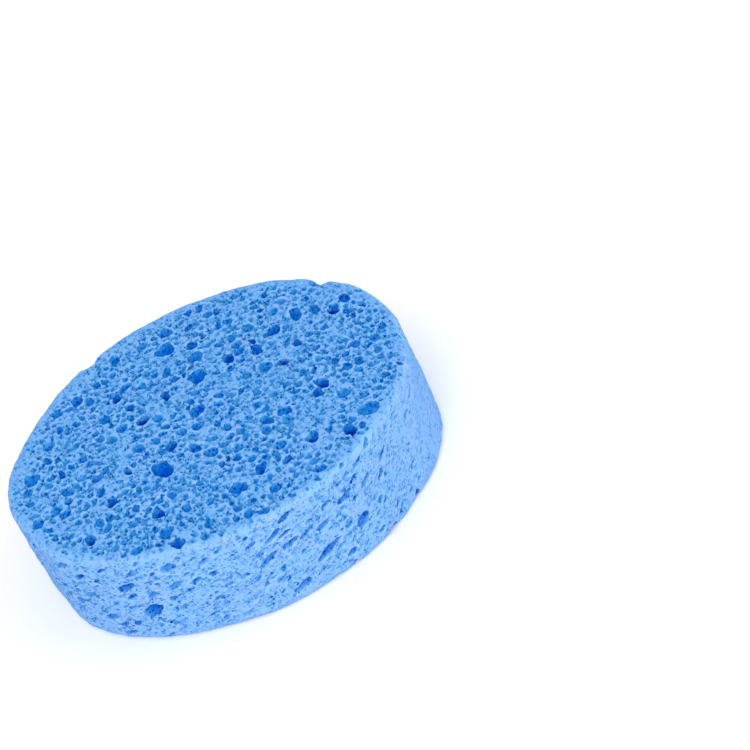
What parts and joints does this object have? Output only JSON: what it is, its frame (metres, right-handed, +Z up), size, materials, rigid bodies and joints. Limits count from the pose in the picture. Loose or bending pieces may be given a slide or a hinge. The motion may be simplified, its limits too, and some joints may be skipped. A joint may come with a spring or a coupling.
{
  "type": "facial cleansing sponge",
  "caption": "Round facial cleansing sponge: a flat disc of blue cellulose foam with rounded rims and open pores of many sizes on every face, used damp to clean the face.",
  "frame": {"origin": "middle of the flat underside, on the surface that the sponge rests on", "axes": "+Z up along the disc's axis, through its thickness; +X and +Y lie in the underside"},
  "size_m": [0.075, 0.075, 0.0185],
  "materials": {
    "cellulose_foam": "matt sky-blue cellulose foam, open pored, with deeper blue inside the pores"
  },
  "bodies": {
    "root": {"sponge": "cellulose_foam"}
  },
  "joints": []
}
